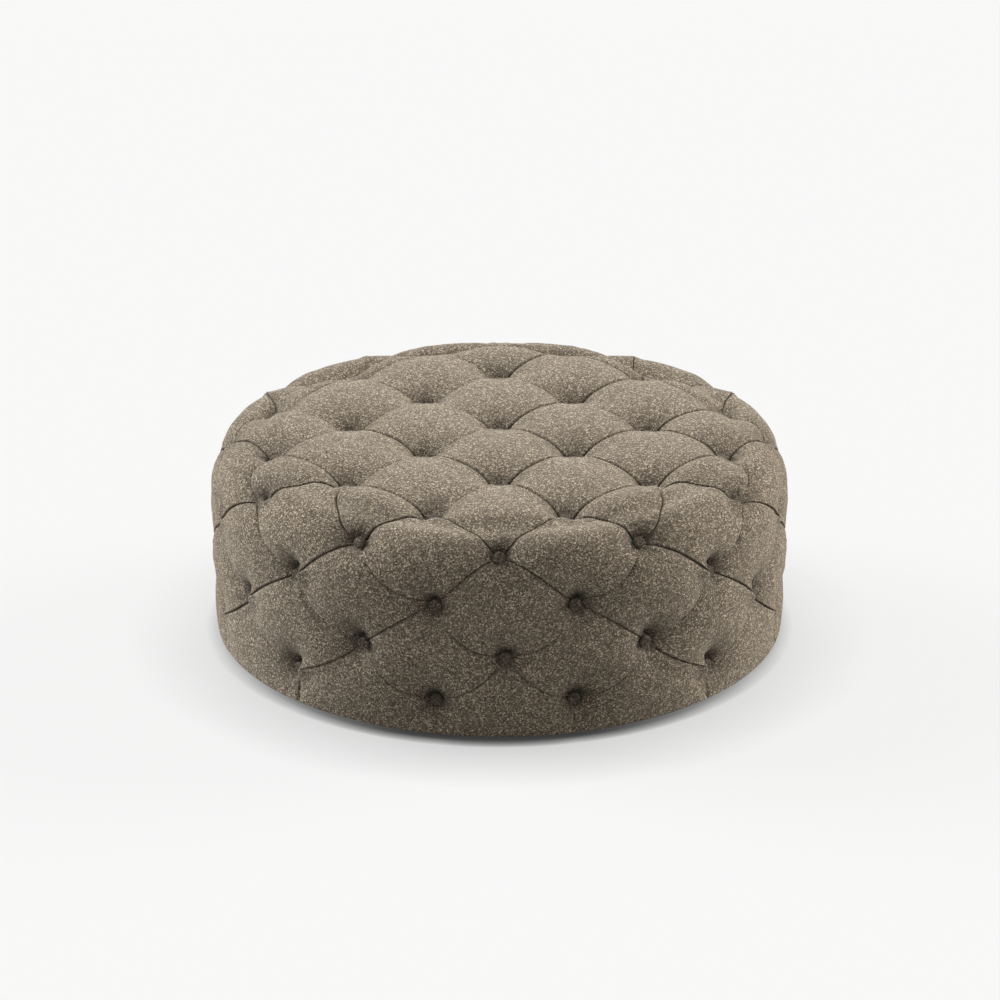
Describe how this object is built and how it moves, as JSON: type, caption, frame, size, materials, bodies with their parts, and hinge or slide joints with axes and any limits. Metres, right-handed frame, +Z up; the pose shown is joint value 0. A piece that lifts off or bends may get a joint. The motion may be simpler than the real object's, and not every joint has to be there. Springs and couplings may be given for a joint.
{
  "type": "tufted pouf",
  "caption": "Low round deep-buttoned pouf: a plywood drum under foam, wadding and a tufted boucle cover, on hidden glides.",
  "frame": {"origin": "centre of the footprint, on the floor under the glides", "axes": "+Z up along the drum's axis, -Y to the front, +X to the right"},
  "size_m": [1.0979, 1.0978, 0.418],
  "materials": {
    "boucle": "woven boucle, matt, melange of taupe and light flecks",
    "button_cloth": "plain taupe cloth pressed over a metal shell",
    "wadding": "white bonded polyester wadding",
    "foam": "cut polyurethane foam",
    "plywood": "sanded birch plywood",
    "bendy_plywood": "bending plywood",
    "softwood": "planed pine",
    "dowel": "beech dowel",
    "twine": "waxed nylon button twine",
    "zinc_steel": "zinc plated",
    "staple_steel": "galvanised wire",
    "dust_cloth": "black spunbond cloth",
    "nylon": "black nylon, matt"
  },
  "bodies": {
    "root": {"tufted_cover": "boucle", "wadding": "wadding", "top_foam": "foam", "side_foam": "foam", "top_deck": "plywood", "base_ring": "plywood", "side_panel_left": "bendy_plywood", "side_panel_right": "bendy_plywood", "cross_rail": "softwood", "front_rail": "softwood", "back_rail": "softwood", "deck_batten_left": "softwood", "deck_batten_right": "softwood", "deck_screws": "zinc_steel", "base_screws": "zinc_steel", "rail_screws": "zinc_steel", "batten_screws": "zinc_steel", "panel_screws": "zinc_steel", "dust_cover": "dust_cloth", "hem_staples": "staple_steel", "dust_cover_staples": "staple_steel", "glide_nails": "zinc_steel", "post_01": "softwood", "post_02": "softwood", "post_03": "softwood", "post_04": "softwood", "post_05": "softwood", "post_06": "softwood", "post_07": "softwood", "post_08": "softwood", "glide_01": "nylon", "glide_02": "nylon", "glide_03": "nylon", "glide_04": "nylon", "glide_05": "nylon", "glide_06": "nylon", "top_field_buttons": "button_cloth", "top_field_ties": "twine", "top_field_toggles": "dowel", "top_edge_buttons": "button_cloth", "top_edge_ties": "twine", "top_edge_toggles": "dowel", "rim_buttons": "button_cloth", "rim_ties": "twine", "rim_toggles": "dowel", "upper_side_buttons": "button_cloth", "upper_side_ties": "twine", "upper_side_toggles": "dowel", "middle_side_buttons": "button_cloth", "middle_side_ties": "twine", "middle_side_toggles": "dowel", "lower_side_buttons": "button_cloth", "lower_side_ties": "twine", "lower_side_toggles": "dowel"}
  },
  "joints": []
}
